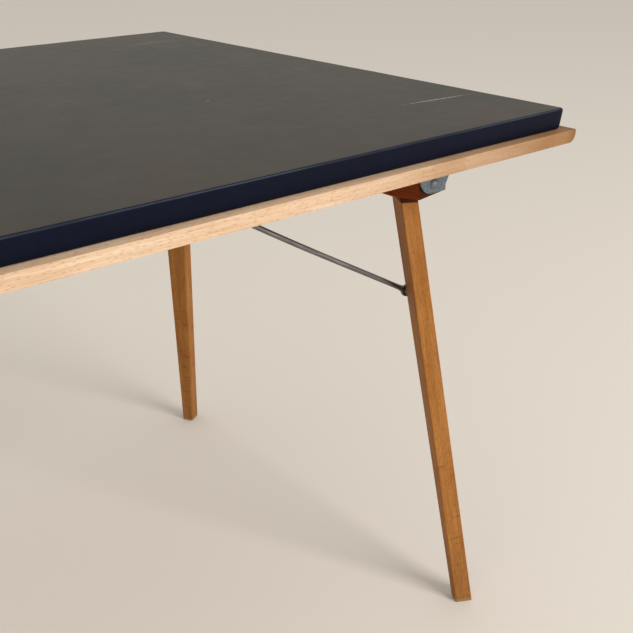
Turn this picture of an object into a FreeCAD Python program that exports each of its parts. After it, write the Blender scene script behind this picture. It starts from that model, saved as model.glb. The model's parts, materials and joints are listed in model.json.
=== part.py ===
import FreeCAD, Part
import Sketcher
import math
import os

# Folding table: a leatherette-covered board on two beech rails, with two leg frames that fold
# flat under it. Millimetres, +Z up, +X along the board's length, +Y to the back.
# The origin is on the floor under the middle of the board.

SIZES = [
    # board and cover
    ("top_length", 864.0, "board with its cover, end to end, before its edge is rounded"),
    ("top_depth", 800.0, "board with its cover, front to back, before its edge is rounded"),
    ("table_height", 692.0, "floor to the top of the cover"),
    ("core_thick", 22.0, "wooden board inside the cover"),
    ("cover_thick", 1.0, "leatherette and the lining under the board"),
    ("cover_turn", 25.0, "width of cover turned under the board"),
    ("corner_round", 6.0, "board corners seen from above"),
    ("edge_round", 3.0, "upper edge of the cover"),
    ("under_round", 4.0, "lower edge of the cover"),
    ("side_lean", 3.0, "board side, farther in at the bottom than at the top"),
    # rails and bearers
    ("rail_width", 40.0, "rail, front to back"),
    ("rail_thick", 14.0, "rail height"),
    ("rail_proud", 8.0, "rail face in front of the cover"),
    ("rail_overhang", 12.0, "rail end beyond the cover"),
    ("rail_nose", 10.0, "rounded lower corner of a rail end"),
    ("rail_screw_inset", 48.7, "board end to the last screw of a rail"),
    ("bearer_width", 44.0, "bearer over a crossbar"),
    ("bearer_thick", 25.0, "height of that bearer"),
    ("centre_width", 130.0, "middle bearer that carries the catches"),
    ("centre_thick", 15.0, "height of the middle bearer"),
    ("bearer_screw_inset", 98.5, "crossbar's end to a bearer's outer screw"),
    # leg frames
    ("hinge_inset", 95.4, "board end to the hinge axis"),
    ("hinge_drop", 66.0, "underside of the board to the hinge axis"),
    ("crossbar_size", 42.0, "square section of a crossbar"),
    ("crossbar_inset", 104.5, "board edge to the crossbar's end"),
    ("crossbar_round", 2.0, "eased edges of a crossbar"),
    ("leg_inset", 48.0, "crossbar's end to the leg at the hinge"),
    ("lean_out", 5.75, "lean of a leg towards the board's end, degrees"),
    ("lean_side", 8.3, "lean of a leg towards the board's edge, degrees"),
    ("leg_turn", 29.0, "turn of a leg's section in plan, degrees"),
    ("foot_width", 17.8, "leg blank at its lower end, wide way"),
    ("foot_thick", 23.6, "leg blank at its lower end, other way"),
    ("blank_spare", 18.0, "leg blank beyond the floor, which is cut off"),
    ("leg_width", 42.0, "leg section at the hinge, wide way"),
    ("leg_thick", 21.0, "leg section at the hinge, other way"),
    ("leg_round", 2.0, "eased edges of a leg"),
    ("spigot_radius", 9.0, "round tenon of a leg in its crossbar"),
    ("spigot_reach", 10.0, "tenon beyond the hinge axis"),
    ("leg_pin_radius", 3.0, "peg through the tenon"),
    # hinge plates and rivets
    ("plate_thick", 2.5, "hinge plate"),
    ("plate_inner", 22.0, "hinge to the plate's inner side"),
    ("plate_outer", 27.0, "hinge to the plate's outer side"),
    ("plate_toe", 20.0, "hinge to the plate's toe"),
    ("plate_below", 11.0, "plate below the hinge"),
    ("plate_toe_top", 4.0, "hinge down to the top of the toe"),
    ("plate_slant_top", 10.0, "hinge up to the top of the slant"),
    ("plate_round", 19.0, "rounded inner lower corner of the plate"),
    ("flange_depth", 30.0, "plate flange under the board"),
    ("plate_screw_side", 11.0, "middle of a bearer to the plate's screws"),
    ("flange_screw_out", 18.0, "plate face to the screws of its flange"),
    ("rivet_radius", 3.5, "hinge rivet shank"),
    ("rivet_depth", 32.0, "rivet inside the crossbar"),
    ("rivet_head", 6.2, "rivet head radius"),
    ("rivet_dome", 3.5, "rivet head height"),
    ("washer_radius", 8.0, "washer between plate and crossbar"),
    ("washer_thick", 1.0, "that washer"),
    ("shaft_gap", 0.08, "radial clearance of a turning pin"),
    ("face_gap", 0.3, "clearance between faces that turn past each other"),
    # stays and catches
    ("stay_drop", 150.0, "hinge axis down to the stay pin on the leg"),
    ("stay_stand", 25.0, "leg axis out to the plane of the stay"),
    ("rod_radius", 3.25, "stay rod"),
    ("eye_radius", 7.5, "flattened eye of a stay"),
    ("eye_thick", 3.5, "that eye"),
    ("eye_lap", 1.2, "rod over the rim of its eye"),
    ("pin_radius", 2.5, "stay pin in the eye"),
    ("shoulder_radius", 4.2, "stay pin in the leg"),
    ("pin_depth", 8.0, "stay pin past the leg axis"),
    ("pin_head", 5.0, "stay pin head radius"),
    ("pin_dome", 2.2, "stay pin head height"),
    ("stud_radius", 4.0, "catch stud"),
    ("hook_gap", 1.0, "stud to the inside of the hook"),
    ("hook_angle", 135.0, "wrap of the hook round its stud, degrees"),
    ("catch_spread", 45.0, "middle of the board to a stud, lengthways"),
    ("right_catch_side", 182.0, "middle of the board to a right stud, sideways"),
    ("left_catch_side", 170.0, "middle of the board to a left stud, sideways"),
    ("catch_drop", 45.5, "underside of the board to a stud"),
    ("catch_thick", 2.5, "catch plate"),
    ("catch_half", 13.0, "half width of a catch plate"),
    ("catch_round", 12.0, "rounded lower corners of a catch plate"),
    ("catch_flange", 26.0, "catch flange under the middle bearer"),
    ("catch_stand", 6.5, "stay plane to the catch plate"),
    ("stud_out", 6.0, "stud end past the stay plane"),
    # screws
    ("screw_radius", 2.0, "wood screw shank"),
    ("screw_head", 4.0, "wood screw head radius"),
    ("screw_dome", 1.8, "round head height"),
    ("screw_sink", 2.2, "countersunk head depth"),
    ("screw_bite", 11.0, "screw length in the wood it holds to"),
]

X_AXIS = FreeCAD.Vector(1, 0, 0)
Y_AXIS = FreeCAD.Vector(0, 1, 0)
Z_AXIS = FreeCAD.Vector(0, 0, 1)
SIDES = ("right", "left")
ENDS = ("front", "back")
SAME = 0.01             # two heights or places this close are the same, in millimetres
PIN_ROUNDS = 8          # rounds that settle a stay pin's direction
RAIL_SCREWS = 4         # screws in each rail
SEAT_CUT = 3            # a cutting block, in widths of the crossbar that it cuts

doc = FreeCAD.newDocument("folding_table")
sheet = doc.addObject("Spreadsheet::Sheet", "sizes")
pieces = []


def fill_sheet():
    """Write every driving size into the sheet, one row each, with its alias."""
    for row, (alias, value, words) in enumerate(SIZES, start=1):
        sheet.set(f"A{row}", words)
        sheet.set(f"B{row}", str(value))
        sheet.setAlias(f"B{row}", alias)
    doc.recompute()


def size(alias):
    """The value of one driving size."""
    return float(sheet.get(alias))


def vec(*xyz):
    return FreeCAD.Vector(*xyz)


def bind(item, **sizes):
    """Tie an object's sizes to the sheet."""
    for prop, words in sizes.items():
        item.setExpression(prop, words)
    return item


def turn_to(direction, start=Z_AXIS):
    return FreeCAD.Rotation(start, direction)


def box(name, at, length, width, height):
    """A block whose lowest corner is at a point."""
    item = doc.addObject("Part::Box", name)
    item.Placement.Base = at
    return bind(item, Length=length, Width=width, Height=height)


def rod(name, at, direction, radius, height):
    """A round bar from a point along a direction."""
    item = doc.addObject("Part::Cylinder", name)
    item.Placement = FreeCAD.Placement(at, turn_to(direction))
    return bind(item, Radius=radius, Height=height)


def dome(name, at, direction, radius, height):
    """A round head: the cap of a ball, flat side at a point."""
    ball = f"(({radius})^2 + ({height})^2) / (2 * ({height}))"
    item = doc.addObject("Part::Sphere", name)
    bind(item, Radius=ball, Angle1=f"asin(1 - ({height}) / ({ball}))")
    doc.recompute()
    sink = item.Radius.Value * math.sin(math.radians(item.Angle1.Value))
    item.Placement = FreeCAD.Placement(at - direction * sink, turn_to(direction))
    return item


def cut(name, base, *tools):
    """A piece with one or more others taken out of it."""
    tool = tools[0] if len(tools) == 1 else join(f"{name}_tools", *tools)
    item = doc.addObject("Part::Cut", name)
    item.Base = base
    item.Tool = tool
    return item


def join(name, *parts):
    """Several shapes made into one."""
    item = doc.addObject("Part::MultiFuse", name)
    item.Shapes = list(parts)
    return item


def group(name, parts):
    """Separate solids that share one node."""
    item = doc.addObject("Part::Compound", name)
    item.Links = list(parts)
    return item


def ease(name, base, radius, chosen):
    """Round the edges of a shape that the test picks out."""
    doc.recompute()
    edges = enumerate(base.Shape.Edges, start=1)
    item = doc.addObject("Part::Fillet", name)
    item.Base = base
    item.Edges = [(number, radius, radius) for number, edge in edges if chosen(edge)]
    return item


def runs_along(edge, axis):
    """True for a straight edge along an axis."""
    if not isinstance(edge.Curve, Part.Line):
        return False
    return abs(edge.Curve.Direction.dot(axis)) > 1 - SAME


def lies_at(edge, height):
    """True for an edge that lies level at a height."""
    return all(abs(corner.Z - height) < SAME for corner in edge.Vertexes)


def keep(item, label):
    """Name a finished piece after its node."""
    item.Label = label
    pieces.append(item)
    return item


def mirror(name, source, normal):
    item = doc.addObject("Part::Mirroring", name)
    item.Source = source
    item.Normal = normal
    return item


def in_quarter(name, master, side, end):
    """A front right master, mirrored into another quarter of the table."""
    item = master
    if side == "left":
        item = mirror(f"{name}_{side}_{end}_x", item, X_AXIS)
    if end == "back":
        item = mirror(f"{name}_{side}_{end}_y", item, Y_AXIS)
    return item


# --- places that several pieces share, worked out from the driving sizes ---

def slab_thick():
    return size("core_thick") + 2 * size("cover_thick")


def underside():
    """Height of the underside of the covered board."""
    return size("table_height") - slab_thick()


def hinge_point():
    """Where the front right leg's axis meets the hinge axis."""
    across = size("top_depth") / 2 - size("crossbar_inset") - size("leg_inset")
    along = size("top_length") / 2 - size("hinge_inset")
    return vec(along, -across, underside() - size("hinge_drop"))


def crossbar_end():
    """Distance of a crossbar's end from the middle of the board."""
    return size("top_depth") / 2 - size("crossbar_inset")


def leg_down():
    """Direction of the front right leg, from the hinge to the foot."""
    out = math.tan(math.radians(size("lean_out")))
    side = math.tan(math.radians(size("lean_side")))
    return vec(out, -side, -1).normalize()


def on_leg(drop):
    """A point of the front right leg's axis, at a drop below the hinge."""
    down = leg_down()
    return hinge_point() + down * (drop / -down.z)


def stud_point(side):
    """Middle of the front stud, as on the right, at the plane of its stay."""
    across = size(f"{side}_catch_side")
    return vec(size("catch_spread"), -across, underside() - size("catch_drop"))


def stay_frame(side):
    """Stay pin, pin axis and stay length for the front stay, as on the right.

    The pin is square to both the leg and the stay, so that the stay swings from its stud to
    lie along the leg. The stay's plane stands off the leg, which moves the pin, so the axis
    is found in a few rounds.
    """
    stud = stud_point(side)
    axis_point = on_leg(size("stay_drop"))
    pin = axis_point
    for _ in range(PIN_ROUNDS):
        axis = leg_down().cross(stud - pin).normalize()
        pin = axis_point + axis * size("stay_stand")
    return pin, axis, (stud - pin).Length


def stay_placement(side):
    """Local X along the rod, local Z along the pin, origin in the eye."""
    pin, axis, reach = stay_frame(side)
    towards = (stud_point(side) - pin).normalize()
    tilt = math.degrees(math.asin(hook_radius() / reach))
    along = FreeCAD.Rotation(axis, -tilt).multVec(towards)
    turned = FreeCAD.Rotation(along, axis.cross(along), axis, "XZY")
    return FreeCAD.Placement(pin, turned)


def hook_radius():
    """Middle line of the hook, round its stud."""
    return size("stud_radius") + size("hook_gap") + size("rod_radius")


# --- board, cover, rails and bearers ---

def rounded_slab(name, skin, corner):
    """The board's block, a skin smaller all round: sides that lean in downwards, round corners."""
    slab = "(sizes.core_thick + 2 * sizes.cover_thick)"
    low = skin
    high = f"({slab} - {skin})"
    item = doc.addObject("Part::Wedge", f"{name}_block")
    item.Placement = FreeCAD.Placement(vec(0, 0, underside()), FreeCAD.Rotation(X_AXIS, 90))
    bind(item, Ymin=low, Ymax=high)
    for axis, across in (("X", "sizes.top_length"), ("Z", "sizes.top_depth")):
        for face, level in (("", low), ("2", high)):
            half = f"({across} / 2 - {skin} - sizes.side_lean * (1 - {level} / {slab}))"
            bind(item, **{f"{axis}{face}max": half, f"{axis}{face}min": f"-{half}"})
    return ease(name, item, corner, lambda edge: not lies_level(edge))


def lies_level(edge):
    """True for an edge with no rise."""
    return edge.BoundBox.ZLength < SAME


def board():
    """Wooden core, leatherette wrapped round it and the lining between the turned edges."""
    skin = size("cover_thick")
    top = size("table_height")
    bottom = underside()
    outer = rounded_slab("cover_blank", "0", size("corner_round"))
    outer = ease("cover_top", outer, size("edge_round"), lambda edge: lies_at(edge, top))
    wrap = ease("cover_wrap", outer, size("under_round"), lambda edge: lies_at(edge, bottom))
    core = rounded_slab("core_blank", "sizes.cover_thick", size("corner_round") - skin)
    core = ease("core_top", core, size("edge_round") - skin,
                lambda edge: lies_at(edge, top - skin))
    core = ease("core", core, size("under_round") - skin,
                lambda edge: lies_at(edge, bottom + skin))
    lining = box("lining_block",
                 vec(size("cover_turn") - size("top_length") / 2,
                     size("cover_turn") - size("top_depth") / 2, bottom),
                 "sizes.top_length - 2 * sizes.cover_turn",
                 "sizes.top_depth - 2 * sizes.cover_turn", "sizes.cover_thick")
    cover = cut("cover", wrap, core, lining)
    return core, cover, lining


def rail(end):
    """A beech rail under one long edge, with rounded lower corners at its ends."""
    length = size("top_length") + 2 * size("rail_overhang")
    edge_y = size("top_depth") / 2 + size("rail_proud")
    low = -edge_y if end == "front" else edge_y - size("rail_width")
    at = vec(-length / 2, low, underside() - size("rail_thick"))
    block = box(f"{end}_rail_block", at, "sizes.top_length + 2 * sizes.rail_overhang",
                "sizes.rail_width", "sizes.rail_thick")
    return ease(f"{end}_rail_shape", block, size("rail_nose"),
                lambda edge: runs_along(edge, Y_AXIS) and lies_at(edge, at.z))


def end_bearer(side):
    """A bearer over a crossbar, between the two hinge plates."""
    hinge = hinge_point()
    sign = 1 if side == "right" else -1
    reach = plate_face()
    corner = vec(sign * hinge.x - size("bearer_width") / 2, -reach,
                 underside() - size("bearer_thick"))
    return box(f"{side}_bearer_block", corner, "sizes.bearer_width",
               "sizes.top_depth - 2 * sizes.crossbar_inset + 2 * sizes.washer_thick"
               " + 2 * sizes.face_gap", "sizes.bearer_thick")


def centre_bearer():
    """The wide flat bearer across the middle, which carries the catches."""
    inner = size("top_depth") / 2 + size("rail_proud") - size("rail_width")
    corner = vec(-size("centre_width") / 2, -inner, underside() - size("centre_thick"))
    return box("centre_bearer_block", corner, "sizes.centre_width",
               "sizes.top_depth + 2 * sizes.rail_proud - 2 * sizes.rail_width",
               "sizes.centre_thick")


# --- screws ---

def sunk_screw(name, at, direction, through):
    """A countersunk screw: head flush at a point, shank along a direction."""
    head = doc.addObject("Part::Cone", f"{name}_head")
    head.Placement = FreeCAD.Placement(at, turn_to(direction))
    bind(head, Radius1="sizes.screw_head", Radius2="sizes.screw_radius",
         Height="sizes.screw_sink")
    shank = rod(f"{name}_shank", at, direction, "sizes.screw_radius",
                f"{through} + sizes.screw_bite")
    return join(name, head, shank)


def round_screw(name, at, direction, through):
    """A round-headed screw whose head sits on the face at a point."""
    head = dome(f"{name}_head", at, direction * -1, "sizes.screw_head", "sizes.screw_dome")
    shank = rod(f"{name}_shank", at, direction, "sizes.screw_radius",
                f"{through} + sizes.screw_bite")
    return join(name, head, shank)


def rail_screw_points():
    """Screws along the middle of both rails, at even steps."""
    reach = size("top_length") / 2 - size("rail_screw_inset")
    line = size("top_depth") / 2 + size("rail_proud") - size("rail_width") / 2
    low = underside() - size("rail_thick")
    step = 2 * reach / (RAIL_SCREWS - 1)
    alongs = [number * step - reach for number in range(RAIL_SCREWS)]
    return [vec(along, sign * line, low) for sign in (-1, 1) for along in alongs]


def bearer_screw_points():
    """Screws through the bearers into the board: height of the lower face, then the place."""
    hinge = hinge_point()
    deep = underside() - size("bearer_thick")
    flat = underside() - size("centre_thick")
    across = crossbar_end() - size("bearer_screw_inset")
    ends = [(x, deep, "sizes.bearer_thick") for x in (hinge.x, -hinge.x)]
    found = []
    for x, low, through in ends + [(0, flat, "sizes.centre_thick")]:
        for step in (-1, 0, 1):
            found.append((vec(x, step * across, low), through))
    return found


# --- hinge plates ---

def plate_face():
    """Distance of a hinge plate's inner face from the middle of the board."""
    return crossbar_end() + size("washer_thick") + size("face_gap")


def plate_outline(sketch):
    """Outline of a hinge plate, about the hinge: a straight toe and a slanted outer side."""
    corners = [
        ("-sizes.plate_inner", "-sizes.plate_below"),
        ("sizes.plate_toe", "-sizes.plate_below"),
        ("sizes.plate_toe", "-sizes.plate_toe_top"),
        ("sizes.plate_outer", "sizes.plate_slant_top"),
        ("sizes.plate_outer", "sizes.hinge_drop"),
        ("-sizes.plate_inner", "sizes.hinge_drop"),
    ]
    draw_outline(sketch, corners)


def draw_outline(sketch, corners):
    """Closed straight outline whose corners are tied to the sheet."""
    points = [vec(evaluate(x), evaluate(y), 0) for x, y in corners]
    count = len(points)
    for number in range(count):
        line = Part.LineSegment(points[number], points[(number + 1) % count])
        sketch.addGeometry(line, False)
    for number in range(count):
        follower = (number + 1) % count
        sketch.addConstraint(Sketcher.Constraint("Coincident", number, 2, follower, 1))
    for number, (x, y) in enumerate(corners):
        for kind, words in (("DistanceX", x), ("DistanceY", y)):
            datum = evaluate(words)
            rule = Sketcher.Constraint(kind, -1, 1, number, 1, datum)
            index = sketch.addConstraint(rule)
            sketch.setExpression(f"Constraints[{index}]", words)


def evaluate(words):
    """Value of a corner expression, which is one size with its sign."""
    sign = -1 if words.startswith("-") else 1
    return sign * size(words.split(".")[1])


def plane_of(body, role):
    """One of a body's own origin planes."""
    return next(item for item in body.Origin.OriginFeatures if item.Role == role)


def hinge_plate():
    """Steel angle at the front end of the right crossbar: outline, pad, rounded corner, flange."""
    hinge = hinge_point()
    body = doc.addObject("PartDesign::Body", "hinge_plate_body")
    sketch = body.newObject("Sketcher::SketchObject", "hinge_plate_outline")
    sketch.AttachmentSupport = [(plane_of(body, "XZ_Plane"), "")]
    sketch.MapMode = "FlatFace"
    plate_outline(sketch)
    pad = body.newObject("PartDesign::Pad", "hinge_plate_pad")
    pad.Profile = sketch
    bind(pad, Length="sizes.plate_thick")
    doc.recompute()
    rounding = body.newObject("PartDesign::Fillet", "hinge_plate_round")
    rounding.Base = (pad, [corner_edge(pad.Shape)])
    bind(rounding, Radius="sizes.plate_round")
    doc.recompute()
    body.Placement.Base = vec(hinge.x, -plate_face(), hinge.z)
    flange = box("hinge_plate_flange",
                 vec(hinge.x - size("plate_inner"), -plate_face() - size("flange_depth"),
                     underside() - size("plate_thick")),
                 "sizes.plate_inner + sizes.plate_outer", "sizes.flange_depth",
                 "sizes.plate_thick")
    return join("hinge_plate", body, flange)


def corner_edge(shape):
    """Name of the edge at the plate's inner lower corner."""
    for number, edge in enumerate(shape.Edges, start=1):
        middle = edge.CenterOfMass
        low = abs(middle.z + size("plate_below")) < SAME
        if low and abs(middle.x + size("plate_inner")) < SAME:
            return f"Edge{number}"
    raise RuntimeError("the plate has no inner lower corner")


def plate_screws():
    """Two screws through the plate into the bearer's end, two through its flange."""
    hinge = hinge_point()
    level = underside() - size("bearer_thick") / 2
    face = -plate_face() - size("plate_thick")
    middle = -plate_face() - size("flange_screw_out")
    low = underside() - size("plate_thick")
    screws = []
    for step in (-1, 1):
        x = hinge.x + step * size("plate_screw_side")
        screws.append(round_screw(f"plate_screw_{step + 1}", vec(x, face, level), Y_AXIS,
                                  "sizes.plate_thick"))
        screws.append(round_screw(f"flange_screw_{step + 1}", vec(x, middle, low), Z_AXIS,
                                  "sizes.plate_thick"))
    return screws


def hinge_rivet():
    """Domed rivet through the plate and washer into the end of the crossbar."""
    hinge = hinge_point()
    seat = plate_face() + size("plate_thick") + size("face_gap")
    at = vec(hinge.x, -seat, hinge.z)
    head = dome("hinge_rivet_head", at, Y_AXIS * -1, "sizes.rivet_head", "sizes.rivet_dome")
    shank = rod("hinge_rivet_shank", at, Y_AXIS, "sizes.rivet_radius",
                "sizes.rivet_depth + sizes.plate_thick + sizes.washer_thick"
                " + 2 * sizes.face_gap")
    return join("hinge_rivet", head, shank)


def hinge_washer(rivet):
    hinge = hinge_point()
    at = vec(hinge.x, -crossbar_end() - size("washer_thick"), hinge.z)
    disc = rod("hinge_washer_disc", at, Y_AXIS, "sizes.washer_radius", "sizes.washer_thick")
    return cut("hinge_washer", disc, rivet)


def rivet_hole():
    """Running hole for the rivet, through the hinge plate."""
    hinge = hinge_point()
    at = vec(hinge.x, -plate_face() - size("plate_thick"), hinge.z)
    return rod("rivet_hole", at, Y_AXIS, "sizes.rivet_radius + sizes.shaft_gap",
               "sizes.plate_thick")


# --- leg frames ---

def crossbar_block():
    """Square bar along the hinge axis, square to the legs, with sloped seats at its ends."""
    hinge = hinge_point()
    half = size("crossbar_size") / 2
    tilt = FreeCAD.Rotation(Y_AXIS, -size("lean_out"))
    centre = vec(hinge.x, 0, hinge.z)
    corner = tilt.multVec(vec(-half, -crossbar_end(), -half))
    bar = box("crossbar_bar", centre + corner, "sizes.crossbar_size",
              "sizes.top_depth - 2 * sizes.crossbar_inset", "sizes.crossbar_size")
    bar.Placement.Rotation = tilt
    eased = ease("crossbar_eased", bar, size("crossbar_round"),
                 lambda edge: runs_along(edge, Y_AXIS))
    seats = [crossbar_seat(end, centre, tilt) for end in ENDS]
    return cut("crossbar_block", eased, *seats)


def crossbar_seat(end, centre, tilt):
    """Block that cuts the sloped seat at one end of the crossbar, square to that end's leg."""
    sign = -1 if end == "front" else 1
    wide = SEAT_CUT * size("crossbar_size")
    item = box(f"crossbar_seat_{end}", vec(0, 0, 0), f"{SEAT_CUT} * sizes.crossbar_size",
               f"{SEAT_CUT} * sizes.crossbar_size", "sizes.crossbar_size")
    turn = tilt * FreeCAD.Rotation(X_AXIS, sign * size("lean_side"))
    start = vec(-wide / 2, min(sign * wide, 0), -size("crossbar_size"))
    edge = tilt.multVec(vec(0, sign * seat_line(), -size("crossbar_size") / 2))
    item.Placement = FreeCAD.Placement(centre + edge + turn.multVec(start), turn)
    return item


def seat_line():
    """Distance from the middle at which the crossbar's sloped seats begin."""
    drop = size("crossbar_size") / 2
    return -on_leg(drop).y


def leg_master(block):
    """Front right leg: tapered, turned in plan, with a round tenon in the crossbar."""
    down = leg_down()
    top = hinge_point()
    length = top.z / -down.z
    wide = vec(math.sin(math.radians(size("leg_turn"))),
               math.cos(math.radians(size("leg_turn"))), 0)
    across = (wide - down * wide.dot(down)).normalize()
    turned = FreeCAD.Rotation(across, down * -1, vec(0, 0, 0), "YXZ")
    taper = doc.addObject("Part::Wedge", "leg_taper")
    taper.Placement = FreeCAD.Placement(top + down * (length + size("blank_spare")), turned)
    taper.Ymin = 0
    taper.Ymax = length + size("blank_spare")
    bind(taper, Xmin="-sizes.foot_width / 2", Xmax="sizes.foot_width / 2",
         Zmin="-sizes.foot_thick / 2", Zmax="sizes.foot_thick / 2",
         X2min="-sizes.leg_width / 2", X2max="sizes.leg_width / 2",
         Z2min="-sizes.leg_thick / 2", Z2max="sizes.leg_thick / 2")
    eased = ease("leg_eased", taper, size("leg_round"),
                 lambda edge: edge.Length > length / 2)
    floor = box("leg_floor", vec(0, -size("top_depth"), -size("table_height")),
                "sizes.top_length", "sizes.top_depth", "sizes.table_height")
    return cut("leg_shaped", eased, block, floor)


def spigot():
    """Round tenon at the top of the front right leg."""
    down = leg_down()
    start = hinge_point() - down * size("spigot_reach")
    return rod("leg_spigot", start, down, "sizes.spigot_radius",
               "sizes.spigot_reach + sizes.crossbar_size / 2 + sizes.leg_round")


def leg_pin():
    """Peg through the crossbar and the tenon, lengthways of the table."""
    tilt = FreeCAD.Rotation(Y_AXIS, -size("lean_out"))
    along = tilt.multVec(X_AXIS)
    start = hinge_point() - along * (size("crossbar_size") / 2)
    return rod("leg_peg", start, along, "sizes.leg_pin_radius", "sizes.crossbar_size")


def stay_pin(side):
    """Shouldered pin: thick in the leg, thin in the stay's eye, with a domed head."""
    pin, axis, _ = stay_frame(side)
    shoulder = size("stay_stand") - size("eye_thick") / 2 - size("face_gap")
    inside = pin - axis * (size("stay_stand") + size("pin_depth"))
    step = pin - axis * (size("stay_stand") - shoulder)
    thick = rod(f"{side}_pin_thick", inside, axis, "sizes.shoulder_radius",
                "sizes.stay_stand + sizes.pin_depth - sizes.eye_thick / 2 - sizes.face_gap")
    thin = rod(f"{side}_pin_thin", step, axis, "sizes.pin_radius",
               "sizes.eye_thick + 2 * sizes.face_gap")
    out = step + axis * (size("eye_thick") + 2 * size("face_gap"))
    head = dome(f"{side}_pin_head", out, axis, "sizes.pin_head", "sizes.pin_dome")
    return join(f"{side}_stay_pin", thick, thin, head)


def stay(side):
    """Steel rod with a flattened eye at the leg and an open hook at the stud."""
    place = stay_placement(side)
    _, axis, reach = stay_frame(side)
    run = math.sqrt(reach ** 2 - hook_radius() ** 2)
    along = place.Rotation.multVec(X_AXIS)
    lower = place.Base - axis * (size("eye_thick") / 2)
    disc = rod(f"{side}_stay_disc", lower, axis, "sizes.eye_radius", "sizes.eye_thick")
    hole = rod(f"{side}_stay_hole", lower, axis, "sizes.pin_radius + sizes.shaft_gap",
               "sizes.eye_thick")
    ring = cut(f"{side}_stay_eye", disc, hole)
    first = size("eye_radius") - size("eye_lap")
    bar = doc.addObject("Part::Cylinder", f"{side}_stay_rod")
    bar.Placement = FreeCAD.Placement(place.Base + along * first, turn_to(along))
    bar.Height = run - first
    bind(bar, Radius="sizes.rod_radius")
    hook = doc.addObject("Part::Torus", f"{side}_stay_hook")
    bind(hook, Radius1="sizes.stud_radius + sizes.hook_gap + sizes.rod_radius",
         Radius2="sizes.rod_radius", Angle3="sizes.hook_angle")
    centre = place.multVec(vec(run, hook_radius(), 0))
    start = FreeCAD.Rotation(Z_AXIS, -90)
    hook.Placement = FreeCAD.Placement(centre, place.Rotation * start)
    angle = math.radians(size("hook_angle") - 90)
    end = vec(run + hook_radius() * math.cos(angle), hook_radius() * (1 + math.sin(angle)), 0)
    tip = doc.addObject("Part::Sphere", f"{side}_stay_tip")
    tip.Placement = FreeCAD.Placement(place.multVec(end), place.Rotation)
    bind(tip, Radius="sizes.rod_radius")
    return join(f"{side}_stay", ring, bar, hook, tip)


# --- catches ---

def catch(side):
    """Steel angle under the middle bearer whose hanging tab holds the stud."""
    stud = stud_point(side)
    top = underside() - size("centre_thick")
    low = stud.z - size("catch_half")
    face = stud.y + size("catch_stand")
    tab = box(f"{side}_catch_tab", vec(stud.x - size("catch_half"), face, low),
              "2 * sizes.catch_half", "sizes.catch_thick",
              "sizes.catch_drop - sizes.centre_thick + sizes.catch_half")
    shaped = ease(f"{side}_catch_shape", tab, size("catch_round"),
                  lambda edge: runs_along(edge, Y_AXIS) and lies_at(edge, low))
    flange = box(f"{side}_catch_flange",
                 vec(stud.x - size("catch_half"), face, top - size("catch_thick")),
                 "2 * sizes.catch_half", "sizes.catch_flange", "sizes.catch_thick")
    return join(f"{side}_catch_angle", shaped, flange)


def catch_stud(side):
    """Plain round stud, riveted in the tab and open at its outer end for the hook."""
    stud = stud_point(side)
    at = vec(stud.x, stud.y - size("stud_out"), stud.z)
    return rod(f"{side}_stud", at, Y_AXIS, "sizes.stud_radius",
               "sizes.stud_out + sizes.catch_stand + sizes.catch_thick")


def catch_screws(side):
    """Two screws through the catch flange into the middle bearer."""
    stud = stud_point(side)
    low = underside() - size("centre_thick") - size("catch_thick")
    line = stud.y + size("catch_stand") + size("catch_flange") * 0.6
    screws = []
    for step in (-1, 1):
        at = vec(stud.x + step * size("catch_half") / 2, line, low)
        screws.append(round_screw(f"{side}_catch_screw_{step + 1}", at, Z_AXIS,
                                  "sizes.catch_thick"))
    return screws


# --- the whole table ---

def build_frames():
    """Crossbars, legs, rivets, washers, pegs, pins and stays of both leg frames."""
    block = crossbar_block()
    tenon = spigot()
    peg = leg_pin()
    rivet = hinge_rivet()
    washer = hinge_washer(rivet)
    shaped = leg_master(block)
    mirrored = [in_quarter("bore", item, "right", "back") for item in (tenon, peg, rivet)]
    bored = cut("crossbar_bored", block, tenon, peg, rivet, *mirrored)
    for side in SIDES:
        keep(in_quarter("crossbar", bored, side, "front"), f"{side}_crossbar")
        pin = stay_pin(side)
        tenoned = join(f"{side}_leg_tenoned", shaped, tenon)
        leg = cut(f"{side}_leg_master", tenoned, peg, pin)
        rod_stay = stay(side)
        for end in ENDS:
            keep(in_quarter("leg", leg, side, end), f"{end}_{side}_leg")
            keep(in_quarter("stay", rod_stay, side, end), f"{end}_{side}_stay")
        for name, master in (("leg_pegs", peg), ("hinge_rivets", rivet),
                             ("hinge_washers", washer), ("stay_pins", pin)):
            copies = [in_quarter(f"{name}_{side}", master, side, end) for end in ENDS]
            keep(group(f"{side}_{name}_group", copies), f"{side}_{name}")


def build_hinge_plates():
    """Four hinge plates and their screws."""
    screws = plate_screws()
    bored = cut("hinge_plate_bored", hinge_plate(), rivet_hole(), *screws)
    copies = []
    for side in SIDES:
        for end in ENDS:
            keep(in_quarter("plate", bored, side, end), f"{end}_{side}_hinge_plate")
            for number, screw in enumerate(screws):
                copies.append(in_quarter(f"plate_screw_{number}", screw, side, end))
    return keep(group("plate_screw_group", copies), "hinge_plate_screws")


def build_catches():
    """Four catches with their studs and screws."""
    studs = []
    copies = []
    for side in SIDES:
        stud = catch_stud(side)
        screws = catch_screws(side)
        bored = cut(f"{side}_catch_bored", catch(side), stud, *screws)
        for end in ENDS:
            keep(in_quarter("catch", bored, side, end), f"{end}_{side}_catch")
            studs.append(in_quarter("stud", stud, side, end))
            for number, screw in enumerate(screws):
                copies.append(in_quarter(f"catch_screw_{number}", screw, side, end))
    keep(group("stud_group", studs), "catch_studs")
    return keep(group("catch_screw_group", copies), "catch_screws")


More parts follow.
